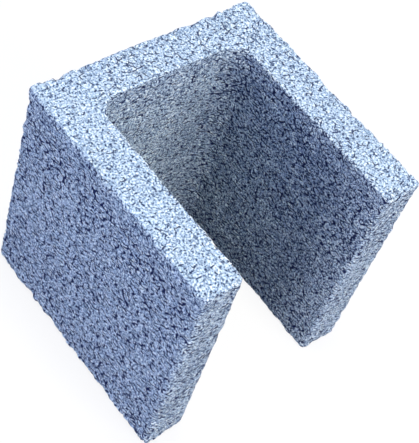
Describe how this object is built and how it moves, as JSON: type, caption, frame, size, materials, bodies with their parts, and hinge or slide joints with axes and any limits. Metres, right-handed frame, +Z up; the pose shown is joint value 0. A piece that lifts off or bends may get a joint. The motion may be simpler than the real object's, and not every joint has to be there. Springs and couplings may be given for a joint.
{
  "type": "u-shaped concrete block",
  "caption": "U-shaped concrete building block: a web and two legs around a channel open at the front, top and bottom, for lintels and bond beams.",
  "frame": {"origin": "centre of the block's outline in plan, at the bottom bed face it stands on", "axes": "+X across the two face shells, +Y from the open ends towards the web, +Z up between the bed faces"},
  "size_m": [0.19, 0.19, 0.19],
  "materials": {
    "concrete": "open-textured pressed concrete, matt and pitted, lighter on the struck top than on the moulded sides"
  },
  "bodies": {
    "root": {"block": "concrete"}
  },
  "joints": []
}
